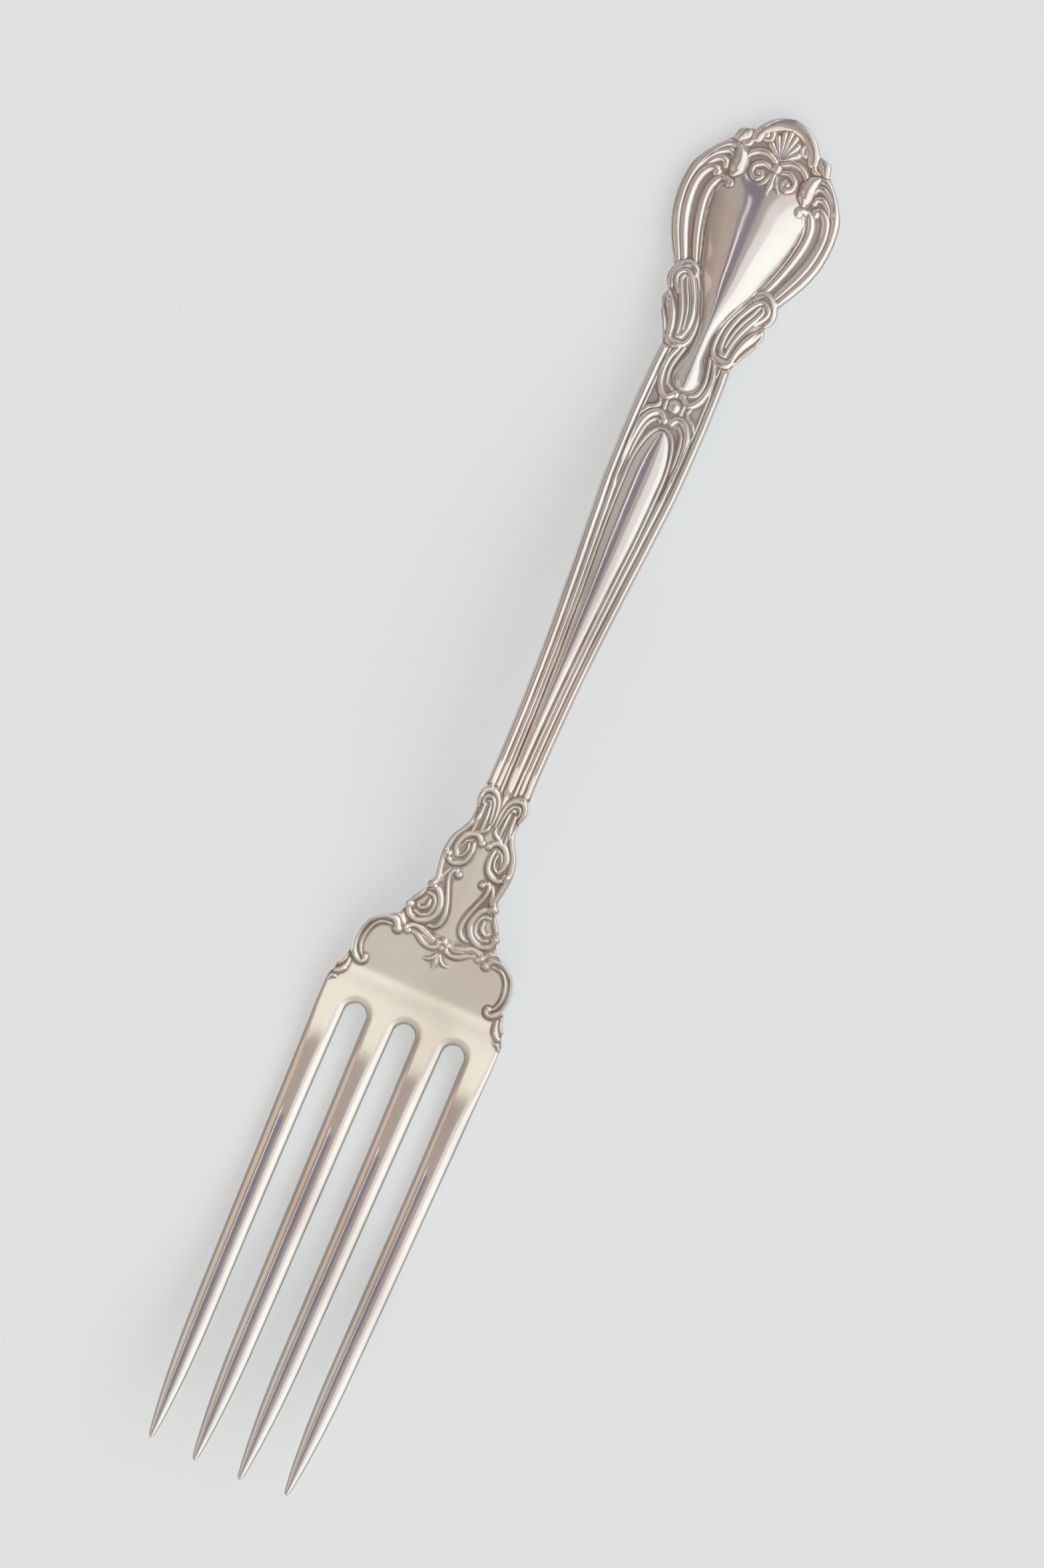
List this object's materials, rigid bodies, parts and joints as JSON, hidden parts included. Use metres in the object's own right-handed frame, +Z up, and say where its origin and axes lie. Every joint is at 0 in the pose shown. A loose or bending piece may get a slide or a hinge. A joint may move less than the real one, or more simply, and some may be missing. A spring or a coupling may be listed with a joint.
{
  "type": "table fork",
  "caption": "Slender silver table fork with parallel pointed tines, a scrolled neck and a reeded, arched handle that ends in a crested cartouche.",
  "frame": {"origin": "on the resting plane, under the middle of the fork's length and width", "axes": "+Y from the tine tips to the end of the handle, +X to the right seen from above, +Z up out of the decorated face"},
  "size_m": [0.02, 0.153, 0.0128],
  "materials": {
    "silver": "polished silver with a worn satin palm and brown patina in the recesses"
  },
  "bodies": {
    "root": {"tine_outer_left": "silver", "tine_inner_left": "silver", "tine_inner_right": "silver", "tine_outer_right": "silver", "head": "silver", "neck": "silver", "collar": "silver", "stem": "silver", "knot": "silver", "cartouche": "silver", "crest": "silver"}
  },
  "joints": []
}
